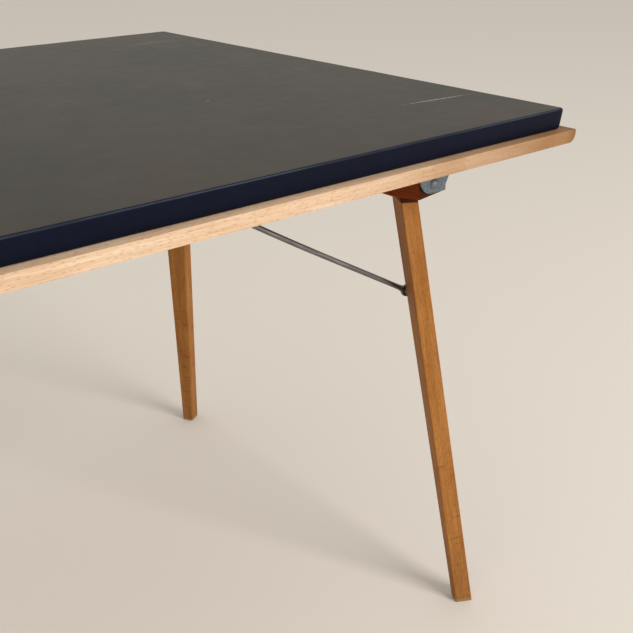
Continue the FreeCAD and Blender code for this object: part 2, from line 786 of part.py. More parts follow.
def build_top(plate_group, catch_group):
    """Board, cover, lining, rails and bearers, bored for every screw that holds them."""
    core, cover, lining = board()
    rail_set = [sunk_screw(f"rail_screw_{number}", at, Z_AXIS, "sizes.rail_thick")
                for number, at in enumerate(rail_screw_points())]
    bearer_set = [sunk_screw(f"bearer_screw_{number}", at, Z_AXIS, through)
                  for number, (at, through) in enumerate(bearer_screw_points())]
    rail_group = keep(group("rail_screw_group", rail_set), "rail_screws")
    bearer_group = keep(group("bearer_screw_group", bearer_set), "bearer_screws")
    groups = (rail_group, bearer_group, plate_group)
    keep(cut("core_bored", core, *groups), "tabletop_core")
    keep(cut("cover_bored", cover, rail_group), "tabletop_cover")
    keep(cut("lining_bored", lining, *groups), "underside_lining")
    for end in ENDS:
        keep(cut(f"{end}_rail_bored", rail(end), rail_group), f"{end}_rail")
    for side in SIDES:
        keep(cut(f"{side}_bearer_bored", end_bearer(side), bearer_group, plate_group),
             f"{side}_bearer")
    keep(cut("centre_bearer_bored", centre_bearer(), bearer_group, catch_group),
         "centre_bearer")


def check_document():
    """Stop on any object that failed or any piece without a sound shape."""
    for item in doc.Objects:
        if "Invalid" in item.State or "Error" in item.State:
            raise RuntimeError(f"{item.Label} failed: {item.State}")
    for item in pieces:
        if item.Shape.isNull() or not item.Shape.isValid():
            raise RuntimeError(f"{item.Label} has no sound shape")


def write_steps():
    os.makedirs("parts", exist_ok=True)
    for item in pieces:
        item.Shape.exportStep(f"parts/{item.Label}.step")
        solids = len(item.Shape.Solids)
        print(f"{item.Label}: {solids} solid(s), {item.Shape.Volume / 1000:.1f} cm3")


fill_sheet()
build_frames()
catch_group = build_catches()
plate_group = build_hinge_plates()
build_top(plate_group, catch_group)
doc.recompute()
check_document()
write_steps()
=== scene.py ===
# %% [markdown]
# # A folding table with a leatherette top
#
# The table is a board wrapped in dark leatherette, screwed to two beech rails. Two beech leg frames
# swing up under it on riveted steel plates, and four steel stays hook onto studs to hold them open.
# The frame that this script loads already has every part at its true size and place. What is left
# for Blender is the finish: surfaces with the grain, wear and gloss of the real stuff, and the few
# pieces whose true shape is softer or finer than the frame's own solids.

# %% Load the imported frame
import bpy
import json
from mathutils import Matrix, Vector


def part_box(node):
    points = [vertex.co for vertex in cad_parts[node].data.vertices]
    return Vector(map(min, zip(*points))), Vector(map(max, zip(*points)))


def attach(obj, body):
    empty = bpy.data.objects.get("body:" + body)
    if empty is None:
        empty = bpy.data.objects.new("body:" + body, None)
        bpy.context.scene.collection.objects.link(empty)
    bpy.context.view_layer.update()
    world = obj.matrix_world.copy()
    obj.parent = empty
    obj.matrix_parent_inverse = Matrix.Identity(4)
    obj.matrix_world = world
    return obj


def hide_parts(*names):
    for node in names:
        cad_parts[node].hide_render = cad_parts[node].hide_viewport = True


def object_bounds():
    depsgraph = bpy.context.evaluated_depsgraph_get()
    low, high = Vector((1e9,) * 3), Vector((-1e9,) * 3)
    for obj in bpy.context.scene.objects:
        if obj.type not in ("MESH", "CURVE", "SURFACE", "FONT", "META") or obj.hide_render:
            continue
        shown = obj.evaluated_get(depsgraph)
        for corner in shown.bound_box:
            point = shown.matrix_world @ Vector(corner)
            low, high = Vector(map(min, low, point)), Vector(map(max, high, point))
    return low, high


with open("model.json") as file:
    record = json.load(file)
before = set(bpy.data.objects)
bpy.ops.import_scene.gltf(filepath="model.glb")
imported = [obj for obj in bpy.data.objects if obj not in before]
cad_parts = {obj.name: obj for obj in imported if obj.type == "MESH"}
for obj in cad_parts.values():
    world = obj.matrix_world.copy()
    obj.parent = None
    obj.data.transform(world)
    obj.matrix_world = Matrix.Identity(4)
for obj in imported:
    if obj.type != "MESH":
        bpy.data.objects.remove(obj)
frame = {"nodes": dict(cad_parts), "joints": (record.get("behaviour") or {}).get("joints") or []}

cad_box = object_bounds()
nodes = frame["nodes"]

# %% The libraries that the lesson uses
import json
import math

import bmesh
import bpy
from mathutils import Matrix, Vector, noise

MM = 0.001
UP = Vector((0, 0, 1))

# %% [markdown]
# ## Sizes read from the frame
#
# Every position below starts from the frame, so that a new size in the model moves the looks with
# it. The board's own box gives the height of its top and underside, and its half length and depth.

# %% Read the board's place
board_low, board_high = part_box("tabletop_cover")
lining_low, lining_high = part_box("underside_lining")
skin = lining_high.z - lining_low.z
print("board:", [round(v, 4) for v in (*board_low, *board_high)], "skin:", round(skin, 4))

# %% [markdown]
# ## Colours and shader nodes
#
# Colours are picked as sRGB hex, the way a paint or stain card gives them. Blender's shaders add
# and multiply light, so each colour is first made linear. A material here is a small tree of nodes,
# and one helper adds a node with its settings and wires its sockets, so that each material reads as
# a list of what is mixed with what.

# %% Helpers for colours, nodes and materials
SHARE, FIRST, SECOND, MIXED = 0, 6, 7, 2      # a colour Mix node's sockets, by number


def linear(code):
    """An sRGB hex colour as linear red, green, blue and alpha."""
    shares = [int(code[at:at + 2], 16) / 255 for at in (0, 2, 4)]
    return [s / 12.92 if s <= 0.04045 else ((s + 0.055) / 1.055) ** 2.4 for s in shares] + [1.0]


def add(tree, kind, sockets, output=0, **settings):
    """Add a shader node and give one of its outputs. A socket takes a value or another output."""
    node = tree.nodes.new("ShaderNode" + kind)
    for name, value in settings.items():
        setattr(node, name, value)
    for name, value in sockets.items():
        if isinstance(value, bpy.types.NodeSocket):
            tree.links.new(value, node.inputs[name])
        else:
            node.inputs[name].default_value = value
    return node.outputs[output] if node.outputs else node


def start_material(name):
    """An empty material, its tree, and the piece's own place and direction, in metres."""
    material = bpy.data.materials.new(name)
    material.use_nodes = True
    tree = material.node_tree
    tree.nodes.clear()
    place = add(tree, "TexCoord", {}, "Object")
    facing = add(tree, "TexCoord", {}, "Normal")
    return material, tree, place, facing


def finish_material(tree, sockets, height, depth, constants):
    """The surface itself: linked sockets, a bump of a real depth, and the constant numbers."""
    bump = add(tree, "Bump", {"Height": height, "Distance": depth, "Strength": 0.6})
    surface = add(tree, "BsdfPrincipled", {"Normal": bump, **sockets, **constants})
    add(tree, "OutputMaterial", {"Surface": surface})


def dress(node_name, material):
    """Give a frame node its finish."""
    piece = nodes[node_name]
    for slot in piece.material_slots:
        slot.material = material


# %% [markdown]
# ## Leatherette
#
# The cover is bookbinder's leatherette: cotton cloth coated with PVC and pressed with a fine pebble
# grain. It is blue black all over, with brownish clouds and wiped patches on the flat top. The top
# is painted a lighter grey olive than the sides: a painted reflection of the pale sky that a flat
# top mirrors. The eye reads it by three things: the soft wide gloss of the top, the dull blue line
# along the top edge, partly rubbed and partly a painted highlight, and a few scratches down to the
# cloth. The sides mirror almost nothing, so the gloss fades out where the surface turns down. The
# real pebbles are about 0.7 mm, too fine to show from across a room, so they are drawn at 1.6 mm.

# %% Scratches on the top, in metres from the middle of the board
SCRATCHES = (
    # start, end, half width
    ((0.298, -0.272), (0.418, -0.283), 1.9 * MM),
    ((0.308, 0.304), (0.389, 0.302), 1.5 * MM),
    ((0.153, -0.118), (0.160, -0.112), 1.3 * MM),
    ((-0.085, 0.060), (-0.020, 0.075), 0.8 * MM),
    ((-0.260, -0.190), (-0.236, -0.226), 0.8 * MM),
)


def scratch_share(tree, place, start, end, half):
    """One along the middle of a thin line, nought outside it."""
    start, end = Vector(start), Vector(end)
    run = end - start
    line = add(tree, "Mapping", {"Vector": place, "Location": (*(start + end) / 2, 0),
                                 "Rotation": (0, 0, math.atan2(run.y, run.x)),
                                 "Scale": (run.length / 2, half, 1)}, vector_type="TEXTURE")
    flat = add(tree, "VectorMath", {0: line, 1: (1, 1, 0)}, operation="MULTIPLY")
    away = add(tree, "VectorMath", {0: flat}, "Value", operation="LENGTH")
    return add(tree, "MapRange", {"Value": away, "From Min": 1.0, "From Max": 0.3})


# %% Mix the leatherette
def leatherette():
    material, tree, place, facing = start_material("leatherette")
    rise = add(tree, "SeparateXYZ", {0: facing}, "Z")
    # on_top: one where a face looks straight up. Its narrow range starts the side's dark colour as
    # soon as the edge turns, which paints a thin dark line, a painted shade, just above the edge's
    # highlight.
    on_top = add(tree, "MapRange", {"Value": rise, "From Min": 0.93, "From Max": 0.998})
    clouds = add(tree, "TexNoise", {"Vector": place, "Scale": 1 / (160 * MM), "Detail": 5.0,
                                    "Roughness": 0.62})
    spread = add(tree, "MapRange", {"Value": clouds, "From Min": 0.36, "From Max": 0.64})
    wiped = add(tree, "TexNoise", {"Vector": place, "Scale": 1 / (24 * MM), "Detail": 6.0,
                                   "Roughness": 0.7})
    # The lighter grey olive of the top, against the navy sides, is painted light: a painted
    # reflection of the pale sky on a cover that is blue black all over.
    top_painted_sheen = add(tree, "Mix", {SHARE: spread, FIRST: linear("1f211c"), SECOND: linear("2e2721")},
                MIXED, data_type="RGBA")
    thin = add(tree, "MapRange", {"Value": wiped, "From Min": 0.45, "From Max": 0.8,
                                  "To Max": 0.5})
    top = add(tree, "Mix", {SHARE: thin, FIRST: top_painted_sheen, SECOND: linear("3a3832")},
              MIXED, data_type="RGBA")
    side = add(tree, "Mix", {SHARE: wiped, FIRST: linear("060a18"), SECOND: linear("0c1224")},
               MIXED, data_type="RGBA")
    body = add(tree, "Mix", {SHARE: on_top, FIRST: side, SECOND: top}, MIXED, data_type="RGBA")
    # The dull blue line round the top edge is partly rubbed wear and partly a painted highlight,
    # where the rounded edge catches the light.
    past = add(tree, "MapRange", {"Value": rise, "From Min": 0.3, "From Max": 0.55})
    before = add(tree, "MapRange", {"Value": rise, "From Min": 0.9, "From Max": 0.7})
    arris = add(tree, "Math", {0: past, 1: before}, operation="MULTIPLY")
    wear_and_painted_light = add(tree, "Math", {0: arris, 1: spread}, operation="MULTIPLY")
    worn_and_highlit = add(tree, "Mix", {SHARE: wear_and_painted_light, FIRST: body, SECOND: linear("343b4b")},
               MIXED, data_type="RGBA")
    crumbs = add(tree, "TexNoise", {"Vector": place, "Scale": 1 / (2.5 * MM), "Detail": 2.0})
    broken = add(tree, "MapRange", {"Value": crumbs, "From Min": 0.34, "From Max": 0.5})
    for start, end, half in SCRATCHES:
        inside = scratch_share(tree, place, start, end, half)
        shown = add(tree, "Math", {0: inside, 1: broken}, operation="MULTIPLY")
        level = add(tree, "Math", {0: shown, 1: on_top}, operation="MULTIPLY")
        worn_and_highlit = add(tree, "Mix", {SHARE: level, FIRST: worn_and_highlit, SECOND: linear("98958c")},
                   MIXED, data_type="RGBA")
    pebble = add(tree, "TexVoronoi", {"Vector": place, "Scale": 1 / (1.6 * MM)},
                 feature="SMOOTH_F1")
    rough = add(tree, "MapRange", {"Value": wiped, "To Min": 0.38, "To Max": 0.56})
    coat = add(tree, "MapRange", {"Value": on_top, "To Min": 0.06, "To Max": 0.2})
    finish_material(tree, {"Base Color": worn_and_highlit, "Roughness": rough, "Specular IOR Level": coat},
                    pebble, 0.12 * MM, {"IOR": 1.5})
    return material


leatherette_finish = leatherette()
print("leatherette nodes:", len(leatherette_finish.node_tree.nodes))

# %% [markdown]
# ## Beech
#
# Beech has no bold figure. Its colour runs from cream to pinkish brown in faint bands a few
# millimetres wide, and what names it to the eye is the flecks: short brown dashes along the grain,
# 1 to 3 mm long. They are drawn a few millimetres longer, since shorter ones vanish at this
# distance. The grain follows the length of each piece, so the coordinates are first turned until the
# grain runs along Z and then squeezed along it. Cut ends drink more finish and dirt, so they are
# darker, and rubbed edges are paler. Bands along one axis change a piece's tone towards its ends:
# darker towards a rail's ends, dirt and pale wear at a leg's foot, and a painted shade at a leg's
# top.

# %% Mix a beech from its tones
GRAIN = {"bands": (7 * MM, 22), "fibres": (1.3 * MM, 26), "flecks": (1.6 * MM, 5)}  # width, stretch
STROKE_HIGH, STROKE_WIDE = 4.5 * MM, 7        # a mark across the grain, and how much wider it is
STROKES_END = (0.27, 0.20)                    # height where these marks begin and where all show


def beech(name, tones, along, seed, gloss, grime_and_shade, arris_tone, chatter=0):
    """tones: pale, middle, dark, fleck and cut end, as hex. along: the way the grain runs.
    grime: rows of axis, where it starts, where it is full, its share and its tone. Rows hold
    dirt, wear, a plain darker tone and painted shade.
    arris_tone: what a rubbed edge shows. chatter: how dark the marks across the grain are."""
    material, tree, place, facing = start_material(name)
    turn = along.rotation_difference(UP).to_euler()
    grain = add(tree, "Mapping", {"Vector": place, "Rotation": turn,
                                  "Location": (0.37 * seed, 0.61 * seed, 0.23 * seed)})
    feature = {}
    for word, (size, stretch) in GRAIN.items():
        drawn = add(tree, "Mapping", {"Vector": grain, "Scale": (1, 1, 1 / stretch)})
        feature[word] = {"Vector": drawn, "Scale": 1 / size}
    bands = add(tree, "TexNoise", {**feature["bands"], "Detail": 3.0, "Distortion": 0.6})
    fibres = add(tree, "TexNoise", {**feature["fibres"], "Detail": 4.0, "Roughness": 0.65})
    cells = add(tree, "TexVoronoi", feature["flecks"])
    dashes = add(tree, "MapRange", {"Value": cells, "From Min": 0.34, "From Max": 0.12,
                                    "To Max": 0.5})
    stain = add(tree, "TexNoise", {"Vector": place, "Scale": 1 / (90 * MM), "Detail": 3.0})
    band_share = add(tree, "MapRange", {"Value": bands, "From Min": 0.35, "From Max": 0.65})
    wood = add(tree, "Mix", {SHARE: band_share, FIRST: linear(tones[0]),
                             SECOND: linear(tones[1])}, MIXED, data_type="RGBA")
    fibre_share = add(tree, "MapRange", {"Value": fibres, "From Min": 0.45, "From Max": 0.85,
                                         "To Max": 0.8})
    wood = add(tree, "Mix", {SHARE: fibre_share, FIRST: wood, SECOND: linear(tones[2])},
               MIXED, data_type="RGBA")
    wood = add(tree, "Mix", {SHARE: dashes, FIRST: wood, SECOND: linear(tones[3])},
               MIXED, data_type="RGBA")
    patch = add(tree, "MapRange", {"Value": stain, "From Min": 0.5, "From Max": 0.8,
                                   "To Max": 0.5})
    wood = add(tree, "Mix", {SHARE: patch, FIRST: wood, SECOND: linear(tones[2])},
               MIXED, data_type="RGBA")
    if chatter:
        wide = add(tree, "Mapping", {"Vector": grain,
                                     "Scale": (1 / STROKE_WIDE, 1 / STROKE_WIDE, 1)})
        strokes = add(tree, "TexNoise", {"Vector": wide, "Scale": 1 / STROKE_HIGH, "Detail": 2.0})
        strokes = add(tree, "MapRange", {"Value": strokes, "From Min": 0.6, "From Max": 0.7,
                                         "To Max": chatter})
        height = add(tree, "SeparateXYZ", {0: place}, "Z")
        low = add(tree, "MapRange", {"Value": height, "From Min": STROKES_END[0],
                                     "From Max": STROKES_END[1]})
        strokes = add(tree, "Math", {0: strokes, 1: low}, operation="MULTIPLY")
        wood = add(tree, "Mix", {SHARE: strokes, FIRST: wood, SECOND: linear(tones[3])},
                   MIXED, data_type="RGBA")
    # Each row darkens or lightens a band along one axis: dirt and wear, a plain darker tone, and at a
    # leg's top a painted shade.
    for axis, begins, full, share, tone in grime_and_shade:
        reach = add(tree, "SeparateXYZ", {0: place}, axis)
        spread = add(tree, "MapRange", {"Value": reach, "From Min": begins, "From Max": full,
                                        "To Max": share})
        wear_and_painted_light = add(tree, "Math", {0: spread, 1: stain}, operation="MULTIPLY")
        wear_and_painted_light = add(tree, "Math", {0: wear_and_painted_light, 1: spread}, operation="ADD", use_clamp=True)
        wood = add(tree, "Mix", {SHARE: wear_and_painted_light, FIRST: wood, SECOND: linear(tone)},
                   MIXED, data_type="RGBA")
    across = add(tree, "SeparateXYZ", {0: facing}, "X")
    drop = add(tree, "SeparateXYZ", {0: facing}, "Z")
    slope = add(tree, "Math", {0: across, 1: drop}, operation="MULTIPLY")
    slope = add(tree, "Math", {0: slope}, operation="ABSOLUTE")
    arris = add(tree, "MapRange", {"Value": slope, "From Min": 0.25, "From Max": 0.48})
    arris = add(tree, "Math", {0: arris, 1: bands}, operation="MULTIPLY")
    wood = add(tree, "Mix", {SHARE: arris, FIRST: wood, SECOND: linear(arris_tone)},
               MIXED, data_type="RGBA")
    cut = add(tree, "VectorMath", {0: facing, 1: along}, "Value", operation="DOT_PRODUCT")
    cut = add(tree, "Math", {0: cut}, operation="ABSOLUTE")
    end_share = add(tree, "MapRange", {"Value": cut, "From Min": 0.75, "From Max": 0.95})
    wood = add(tree, "Mix", {SHARE: end_share, FIRST: wood, SECOND: linear(tones[4])},
               MIXED, data_type="RGBA")
    rough = add(tree, "MapRange", {"Value": fibres, "To Min": gloss - 0.1, "To Max": gloss + 0.14})
    finish_material(tree, {"Base Color": wood, "Roughness": rough}, fibres, 0.15 * MM,
                    {"IOR": 1.5, "Specular IOR Level": 0.05})
    return material


# %% [markdown]
# ## Which beech goes where
#
# The rails are bare beech, pale and pinkish, and browner towards their right ends. The bearers
# under the board never see light. The crossbars were stained red brown. The top of each leg is
# painted dark red brown, a painted shade where the crossbar's shadow falls. The legs have an old
# varnish that has turned them brown, small marks across the grain low down, and pale wood where the
# foot rubs on the floor. Each piece gets its own start in the grain, since no two sticks match. A leg
# leans, so its grain direction is measured from its own mesh: the middle of its foot against the
# middle of its top.

# %% Dress the wood
RAIL_TONES = ("d2bca4", "c6a98d", "aa8461", "936541", "6a5038")
BEARER_TONES = ("c8a47c", "b99167", "9a6f48", "80542f", "7d5e3c")
STAINED_TONES = ("88400f", "73310a", "521f05", "361404", "441d08")
LEG_TONES = ("a67340", "966331", "77471b", "522d11", "5c3a1e")
# Rows: browner towards both ends, most at the right, and darker in a short band at each very end.
RAIL_END_DARKENING = (("X", 0.08, 0.46, 0.66, "80562c"), ("X", -0.30, -0.46, 0.20, "80562c"),
              ("X", 0.425, 0.443, 0.3, "5c4c30"), ("X", -0.425, -0.443, 0.3, "5c4c30"))
# Rows: dirt darkening the foot, pale wear where the foot rubs, and a dark red band at the top of the
# leg that is painted shade, where the crossbar's shadow falls.
LEG_DIRT_WEAR_AND_SHADE = (("Z", 0.11, 0.0, 0.15, "4a3220"), ("Z", 0.0055, 0.0035, 0.5, "927853"),
             ("Z", 0.5735, 0.5750, 1.0, "471d0b"))
LEG_CHATTER = 0.5
LONG, DEEP = Vector((1, 0, 0)), Vector((0, 1, 0))


def leg_direction(node_name):
    """From the middle of the foot to the middle of the leg's top."""
    corners = [corner.co for corner in nodes[node_name].data.vertices]
    low = min(corner.z for corner in corners)
    high = max(corner.z for corner in corners)
    reach = (high - low) * 0.02
    foot = [corner for corner in corners if corner.z < low + reach]
    head = [corner for corner in corners if corner.z > high - reach]
    middle = [sum(group, Vector()) / len(group) for group in (foot, head)]
    return (middle[1] - middle[0]).normalized()


wood_pieces = [(name, RAIL_TONES, LONG, 0.55, RAIL_END_DARKENING, "d8c6ab")
               for name in ("front_rail", "back_rail")]
wood_pieces += [(name, BEARER_TONES, DEEP, 0.6, (), "b08a5e")
                for name in ("right_bearer", "left_bearer", "centre_bearer")]
wood_pieces += [(name, STAINED_TONES, DEEP, 0.5, (), "c08a62")
                for name in ("right_crossbar", "left_crossbar")]
wood_pieces += [(name, BEARER_TONES, LONG, 0.6, (), "b08a5e")
                for name in ("right_leg_pegs", "left_leg_pegs")]
wood_pieces += [(f"{end}_{side}_leg", LEG_TONES, leg_direction(f"{end}_{side}_leg"), 0.5,
                 LEG_DIRT_WEAR_AND_SHADE, "8a5a2e") for end in ("front", "back") for side in ("right", "left")]
for seed, (name, tones, along, gloss, grime_and_shade, arris_tone) in enumerate(wood_pieces, start=1):
    chatter = LEG_CHATTER if tones is LEG_TONES else 0
    dress(name, beech(f"{name}_beech", tones, along, seed, gloss, grime_and_shade, arris_tone, chatter))
print("beech pieces:", len(wood_pieces))

# %% [markdown]
# ## Softened wood edges
#
# Nobody leaves a knife edge on a table. A joiner takes it off with glass paper, about half a
# millimetre, and use rounds it further. The frame's solids have sharp edges there, so a Weld joins
# their triangles and a Bevel rounds what is still sharp. A Bevel is a modifier: the frame's own mesh
# stays as it is.

# %% Soften the edges
SHARP = math.radians(50)


def soften(node_name, width):
    """Weld a frame node's triangles and round its sharp edges."""
    weld = nodes[node_name].modifiers.new("weld", "WELD")
    weld.merge_threshold = 0.01 * MM
    bevel = nodes[node_name].modifiers.new("soft_edges", "BEVEL")
    bevel.limit_method = "ANGLE"
    bevel.angle_limit = SHARP
    bevel.width = width
    bevel.segments = 3
    bevel.harden_normals = True


for name in ("front_rail", "back_rail", "right_bearer", "left_bearer", "centre_bearer"):
    soften(name, 0.9 * MM)
for name in ("right_crossbar", "left_crossbar"):
    soften(name, 0.5 * MM)
for end in ("front", "back"):
    for side in ("right", "left"):
        soften(f"{end}_{side}_leg", 1.0 * MM)
        soften(f"{end}_{side}_hinge_plate", 0.3 * MM)
        soften(f"{end}_{side}_catch", 0.3 * MM)

# %% [markdown]
# ## Steel
#
# Four steels. The hinge plates and catches are galvanised sheet, dulled to a blue grey with cloudy
# zinc. The stays are drawn rod, gone dark, with fine lines along them. The screws and studs are
# turned steel, and the rivets hammered and dull. Bare metal is all reflection, so what differs is the
# colour of the reflection, its blur, and the brown bloom of rust that starts in patches.

# %% Mix a steel
def steel(name, pale, dark, rust_share, rough_low, rough_high, grit, along=UP, draw=1.0):
    """grit: size of the mottling. draw: how far the mottling is stretched along a direction."""
    material, tree, place, _ = start_material(name)
    turned = add(tree, "Mapping", {"Vector": place,
                                   "Rotation": along.rotation_difference(UP).to_euler()})
    drawn = add(tree, "Mapping", {"Vector": turned, "Scale": (1, 1, 1 / draw)})
    mottle = add(tree, "TexNoise", {"Vector": drawn, "Scale": 1 / grit, "Detail": 5.0,
                                    "Roughness": 0.68})
    share = add(tree, "MapRange", {"Value": mottle, "From Min": 0.35, "From Max": 0.65})
    metal = add(tree, "Mix", {SHARE: share, FIRST: linear(pale), SECOND: linear(dark)},
                MIXED, data_type="RGBA")
    bloom = add(tree, "TexNoise", {"Vector": place, "Scale": 1 / (9 * MM), "Detail": 6.0,
                                   "Roughness": 0.75})
    rust = add(tree, "MapRange", {"Value": bloom, "From Min": 0.56, "From Max": 0.72,
                                  "To Max": rust_share})
    metal = add(tree, "Mix", {SHARE: rust, FIRST: metal, SECOND: linear("4a2c19")},
                MIXED, data_type="RGBA")
    rough = add(tree, "MapRange", {"Value": mottle, "To Min": rough_low, "To Max": rough_high})
    bare = add(tree, "Math", {0: 1.0, 1: rust}, operation="SUBTRACT")
    finish_material(tree, {"Base Color": metal, "Roughness": rough, "Metallic": bare}, mottle,
                    0.06 * MM, {})
    return material


zinc_finish = steel("galvanised_steel", "7e8992", "616b75", 0.35, 0.38, 0.62, 3 * MM)
turned_finish = steel("turned_steel", "a4a29c", "7c7973", 0.5, 0.28, 0.5, 1.2 * MM)
rivet_finish = steel("hammered_rivet_steel", "868f96", "666e76", 0.3, 0.45, 0.65, 1.6 * MM)
washer_finish = steel("washer_steel", "8e8c86", "6b6963", 0.5, 0.35, 0.55, 2 * MM)
for end in ("front", "back"):
    for side in ("right", "left"):
        dress(f"{end}_{side}_hinge_plate", zinc_finish)
        dress(f"{end}_{side}_catch", zinc_finish)
for side in ("right", "left"):
    dress(f"{side}_hinge_rivets", rivet_finish)
    dress(f"{side}_stay_pins", rivet_finish)
    dress(f"{side}_hinge_washers", washer_finish)
dress("catch_studs", turned_finish)

# %% [markdown]
# ## Inside and under the board
#
# The core is blockboard, with fir strips a couple of centimetres wide, and the underside is closed
# with brown lining paper glued between the turned edges of the cover. Neither is seen with the
# table standing, but the paper is what one meets when it is folded and carried.

# %% Core and lining
def blockboard():
    material, tree, place, _ = start_material("blockboard")
    strips = add(tree, "TexBrick", {"Vector": place, "Color1": linear("caa878"),
                                    "Color2": linear("b8935f"), "Mortar": linear("6b4c2b"),
                                    "Scale": 1.0, "Mortar Size": 0.4 * MM,
                                    "Brick Width": 420 * MM, "Row Height": 24 * MM}, "Color")
    long_place = add(tree, "Mapping", {"Vector": place, "Scale": (1 / 20, 1, 1)})
    lines = add(tree, "TexNoise", {"Vector": long_place, "Scale": 1 / (2 * MM), "Detail": 3.0})
    wood = add(tree, "Mix", {SHARE: lines, FIRST: strips, SECOND: linear("9a7345")},
               MIXED, data_type="RGBA")
    rough = add(tree, "MapRange", {"Value": lines, "To Min": 0.6, "To Max": 0.8})
    finish_material(tree, {"Base Color": wood, "Roughness": rough}, lines, 0.2 * MM, {"IOR": 1.5})
    return material


def lining_paper():
    material, tree, place, _ = start_material("brown_lining_paper")
    pulp = add(tree, "TexNoise", {"Vector": place, "Scale": 1 / (4 * MM), "Detail": 6.0,
                                  "Roughness": 0.7})
    damp = add(tree, "TexNoise", {"Vector": place, "Scale": 1 / (140 * MM), "Detail": 4.0})
    paper = add(tree, "Mix", {SHARE: pulp, FIRST: linear("6e5338"), SECOND: linear("8a6b4a")},
                MIXED, data_type="RGBA")
    spots = add(tree, "MapRange", {"Value": damp, "From Min": 0.5, "From Max": 0.75,
                                   "To Max": 0.6})
    paper = add(tree, "Mix", {SHARE: spots, FIRST: paper, SECOND: linear("4c3722")},
                MIXED, data_type="RGBA")
    rough = add(tree, "MapRange", {"Value": pulp, "To Min": 0.75, "To Max": 0.92})
    finish_material(tree, {"Base Color": paper, "Roughness": rough}, pulp, 0.1 * MM, {"IOR": 1.45})
    return material


dress("tabletop_core", blockboard())
dress("underside_lining", lining_paper())

# %% [markdown]
# ## A helper for new pieces
#
# A piece that stands for a frame node needs three things: a mesh, a finish, and the body that it
# moves with. Smooth shading with sharp edges kept at their angle gives turned and folded shapes
# their clean look.

# %% Make a piece from a bmesh
CREASE = math.radians(38)


def new_piece(name, shape, finish, slot, body, *replaced):
    """Turn a bmesh into a piece that rides on a body and stands for frame nodes."""
    mesh = bpy.data.meshes.new(name)
    shape.to_mesh(mesh)
    shape.free()
    mesh.materials.append(finish)
    mesh.polygons.foreach_set("use_smooth", [True] * len(mesh.polygons))
    mesh.set_sharp_from_angle(angle=CREASE)
    piece = bpy.data.objects.new(name, mesh)
    bpy.context.scene.collection.objects.link(piece)
    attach(piece, body)
    if replaced:
        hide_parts(*replaced)
    print(name, "faces:", len(mesh.polygons))
    return piece


# %% [markdown]
# ## The cover
#
# Leatherette pulled over a board is never as crisp as the board. It bellies a little between glue
# spots, and its top edge wanders by a few tenths of a millimetre, which is what breaks up the thin
# line of light along it. A scan would catch that; here it is made with rings. Each ring runs round
# the board as a rounded rectangle, a profile says how far in and how high each ring lies, and a
# smooth noise pushes the ring in or out. The profile goes over the top edge, down the side that
# leans in, round the lower edge, and under to the cut line, and then back on the inside.

# %% The profile of the cover: how far in from the outline, and how high
TOP_ROUND, LOW_ROUND, SIDE_LEAN, CORNER = 3 * MM, 4 * MM, 3 * MM, 6 * MM
ARC_STEPS = 6
slab = board_high.z - board_low.z
turned_under = lining_low.x - board_low.x


def lean(height):
    """How far in the side is at a height, since it leans in towards the bottom."""
    return SIDE_LEAN * (board_high.z - height) / slab


def edge_profile(inner):
    """Over the top edge, down the side and round the lower edge, a skin's depth inside or not."""
    rows = []
    quarter = [math.pi / 2 * step / ARC_STEPS for step in range(ARC_STEPS + 1)]
    for turn in quarter:
        rows.append((TOP_ROUND - (TOP_ROUND - inner) * math.sin(turn),
                     board_high.z - TOP_ROUND + (TOP_ROUND - inner) * math.cos(turn)))
    for share in (0.25, 0.5, 0.75):
        high, low = board_high.z - TOP_ROUND, board_low.z + LOW_ROUND
        rows.append((inner, high + (low - high) * share))
    for turn in quarter:
        rows.append((LOW_ROUND - (LOW_ROUND - inner) * math.cos(turn),
                     board_low.z + LOW_ROUND - (LOW_ROUND - inner) * math.sin(turn)))
    return [(inset + lean(height), height) for inset, height in rows]


INNERMOST = 370 * MM      # the last ring of the flat top, which one face then fills
outside = [(INNERMOST, board_high.z)]
outside += [(inset * MM, board_high.z) for inset in (240, 110, 45, 20, 10, 6)]
outside += edge_profile(0)
outside += [(inset, board_low.z) for inset in (turned_under * 0.6, turned_under)]
inside = [(inset, height) for inset, height in reversed(edge_profile(skin))]
inside = [(turned_under, board_low.z + skin)] + inside + [(INNERMOST, board_high.z - skin)]
print("profile rows:", len(outside), "outside,", len(inside), "inside")

# %% One ring round the board
STEPS_LONG, STEPS_DEEP, STEPS_CORNER = 96, 88, 8
half_long = board_high.x + lean(board_high.z - TOP_ROUND)
half_deep = board_high.y + lean(board_high.z - TOP_ROUND)


def ring(inset, height):
    """Points round a rounded rectangle, each with its outward direction."""
    radius = max(CORNER - inset, 0.3 * MM)
    far_x, far_y = half_long - inset - radius, half_deep - inset - radius
    points = []
    corners = ((1, -1, STEPS_DEEP), (1, 1, STEPS_LONG), (-1, 1, STEPS_DEEP), (-1, -1, STEPS_LONG))
    for number, (sign_x, sign_y, steps) in enumerate(corners):
        centre = Vector((sign_x * far_x, sign_y * far_y, height))
        first = math.pi / 2 * (number - 1)
        for step in range(STEPS_CORNER + 1):
            angle = first + math.pi / 2 * step / STEPS_CORNER
            out = Vector((math.cos(angle), math.sin(angle), 0))
            points.append((centre + out * radius, out))
        next_x, next_y, _ = corners[(number + 1) % len(corners)]
        finish = Vector((next_x * far_x, next_y * far_y, height)) + out * radius
        begin = points[-1][0]
        for step in range(1, steps):
            points.append((begin.lerp(finish, step / steps), out))
    return points


